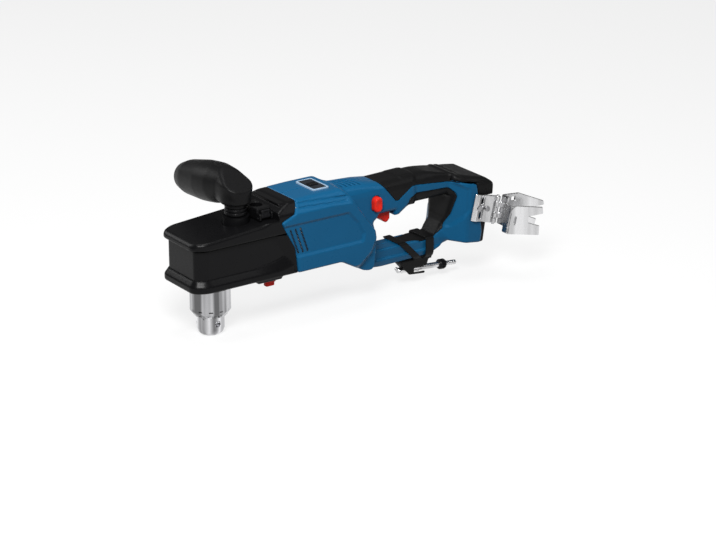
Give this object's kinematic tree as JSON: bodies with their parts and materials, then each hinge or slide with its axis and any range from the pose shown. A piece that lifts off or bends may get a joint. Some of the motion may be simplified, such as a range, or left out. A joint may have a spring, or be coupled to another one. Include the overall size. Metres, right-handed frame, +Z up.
{
  "type": "right angle drill",
  "caption": "Cordless right angle drill with a keyed chuck under a flat gear head, a motor body, a D-handle with trigger, a swivelling side handle and a folding hook.",
  "frame": {"origin": "centre of the chuck's nose face, on the spindle axis", "axes": "+Z up along the spindle, away from the drill bit; +X rearward along the tool's length; +Y to the tool's right side"},
  "size_m": [0.4388, 0.1603, 0.1687],
  "materials": {
    "chrome_steel": "bright turned and plated steel",
    "bare_steel": "bright zinc-plated sheet steel",
    "gear_steel": "machined gear steel",
    "blue_plastic": "fine-grained moulded plastic",
    "black_plastic": "satin moulded plastic",
    "black_rubber": "soft overmoulded rubber",
    "red_plastic": "moulded plastic",
    "grey_panel": "printed panel foil",
    "dark_plastic": "plain moulded plastic",
    "bronze": "sintered bushes and contact blades",
    "wound_copper": "lacquered windings on a laminated core",
    "cast_aluminium": "die-cast"
  },
  "bodies": {
    "housing": {"spindle_bearing": "gear_steel", "spindle_bush": "bronze", "spindle_seal": "black_rubber", "gear_case": "black_plastic", "head_cover": "black_plastic", "head_guard": "black_plastic", "head_screws": "gear_steel", "layshaft_bearing": "gear_steel", "layshaft_bush": "bronze", "gearbox_plate": "cast_aluminium", "stator": "wound_copper", "motor_bearings": "gear_steel", "motor_bracket": "dark_plastic", "housing_left": "blue_plastic", "housing_right": "blue_plastic", "housing_screws": "gear_steel", "control_panel": "grey_panel", "electronics_module": "dark_plastic", "switch_module": "dark_plastic", "trigger_spring": "gear_steel", "grip_rubber": "black_rubber", "bar_rubber": "black_rubber", "rear_bumper": "black_rubber", "battery_rail": "dark_plastic", "battery_terminals": "bronze", "handle_mount": "black_plastic", "clamp_block": "black_plastic", "hook_bracket": "bare_steel", "hook_pin": "bare_steel", "hook_screws": "gear_steel", "key_holder": "black_rubber"},
    "spindle": {"spindle": "gear_steel", "crown_gear": "gear_steel", "chuck_body": "chrome_steel", "chuck_screw": "gear_steel"},
    "sleeve": {"chuck_sleeve": "chrome_steel", "chuck_nut": "gear_steel"},
    "jaw_1": {"jaw_1": "gear_steel"},
    "jaw_2": {"jaw_2": "gear_steel"},
    "jaw_3": {"jaw_3": "gear_steel"},
    "layshaft": {"layshaft": "gear_steel", "low_gear": "gear_steel"},
    "high_gear": {"high_gear": "gear_steel"},
    "dog_ring": {"dog_ring": "gear_steel"},
    "shift_fork": {"shift_fork": "gear_steel"},
    "gear_selector": {"gear_selector": "red_plastic"},
    "rotor": {"rotor": "gear_steel", "fan": "dark_plastic"},
    "mode_button": {"mode_button": "dark_plastic"},
    "trigger": {"trigger": "red_plastic"},
    "direction_switch": {"direction_switch": "red_plastic"},
    "side_handle": {"handle_core": "black_plastic", "handle_grip": "black_rubber"},
    "clamp_lever": {"clamp_lever": "black_plastic"},
    "rafter_hook": {"rafter_hook": "bare_steel"},
    "chuck_key": {"chuck_key": "chrome_steel"}
  },
  "joints": [
    {"name": "spindle_spin", "type": "hinge", "parent": "housing", "child": "spindle", "pos_m": [0, 0, 0], "axis": [0, 0, 1], "continuous": true},
    {"name": "sleeve_turn", "type": "hinge", "parent": "spindle", "child": "sleeve", "pos_m": [0, 0, 0], "axis": [0, 0, 1], "range_deg": [0, 5040]},
    {"name": "jaw_slide_1", "type": "slide", "parent": "spindle", "child": "jaw_1", "axis": [0, -0.2079, -0.9781], "range_m": [0, 0.02771]},
    {"name": "jaw_slide_2", "type": "slide", "parent": "spindle", "child": "jaw_2", "axis": [0.1801, 0.104, -0.9781], "range_m": [0, 0.02771]},
    {"name": "jaw_slide_3", "type": "slide", "parent": "spindle", "child": "jaw_3", "axis": [-0.1801, 0.104, -0.9781], "range_m": [0, 0.02771]},
    {"name": "layshaft_spin", "type": "hinge", "parent": "housing", "child": "layshaft", "pos_m": [0.05, 0, 0.086], "axis": [1, 0, 0], "continuous": true},
    {"name": "high_gear_spin", "type": "hinge", "parent": "housing", "child": "high_gear", "pos_m": [0.079, 0, 0.086], "axis": [1, 0, 0], "continuous": true},
    {"name": "rotor_spin", "type": "hinge", "parent": "housing", "child": "rotor", "pos_m": [0.13, 0, 0.1], "axis": [1, 0, 0], "continuous": true},
    {"name": "selector_turn", "type": "hinge", "parent": "housing", "child": "gear_selector", "pos_m": [0.056, -0.024, 0.05], "axis": [0, 0, 1], "range_deg": [0, 180]},
    {"name": "shift_slide", "type": "slide", "parent": "housing", "child": "shift_fork", "axis": [1, 0, 0], "range_m": [0, 0.00351]},
    {"name": "dog_spin", "type": "hinge", "parent": "shift_fork", "child": "dog_ring", "pos_m": [0.069, 0, 0.086], "axis": [1, 0, 0], "continuous": true},
    {"name": "trigger_pull", "type": "slide", "parent": "housing", "child": "trigger", "axis": [0, 0, 1], "range_m": [0, 0.007], "stiffness_N_per_m": 900, "springref_m": -0.004, "deforming": ["trigger_spring"]},
    {"name": "direction_slide", "type": "slide", "parent": "housing", "child": "direction_switch", "axis": [0, 1, 0], "range_m": [-0.004, 0.004]},
    {"name": "mode_press", "type": "slide", "parent": "housing", "child": "mode_button", "axis": [0, 0, -1], "range_m": [0, 0.0008], "stiffness_N_per_m": 1500, "springref_m": -0.0003},
    {"name": "handle_swivel", "type": "hinge", "parent": "housing", "child": "side_handle", "pos_m": [0.03, -0.004, 0.122], "axis": [0, 0, 1], "range_deg": [0, 180]},
    {"name": "lever_flip", "type": "hinge", "parent": "housing", "child": "clamp_lever", "pos_m": [0.0529, -0.0236, 0.121], "axis": [1, 0, 0], "range_deg": [0, 80]},
    {"name": "hook_swing", "type": "hinge", "parent": "housing", "child": "rafter_hook", "pos_m": [0.336, -0.039, 0.076], "axis": [-0.225, 0, -0.9744], "range_deg": [0, 90]},
    {"name": "key_pull", "type": "slide", "parent": "housing", "child": "chuck_key", "axis": [0, 0, -1], "range_m": [0, 0.012]}
  ],
  "couplings": [
    {"joint": "jaw_slide_1", "follows": "sleeve_turn", "m_per_rad": 0.0003144},
    {"joint": "jaw_slide_2", "follows": "sleeve_turn", "m_per_rad": 0.0003144},
    {"joint": "jaw_slide_3", "follows": "sleeve_turn", "m_per_rad": 0.0003144},
    {"joint": "layshaft_spin", "follows": "spindle_spin", "ratio": 3},
    {"joint": "dog_spin", "follows": "spindle_spin", "ratio": 3},
    {"joint": "rotor_spin", "follows": "spindle_spin", "ratio": -5.4},
    {"joint": "high_gear_spin", "follows": "spindle_spin", "ratio": 5.4},
    {"joint": "selector_turn", "follows": "shift_slide", "rad_per_m": 895.04}
  ]
}
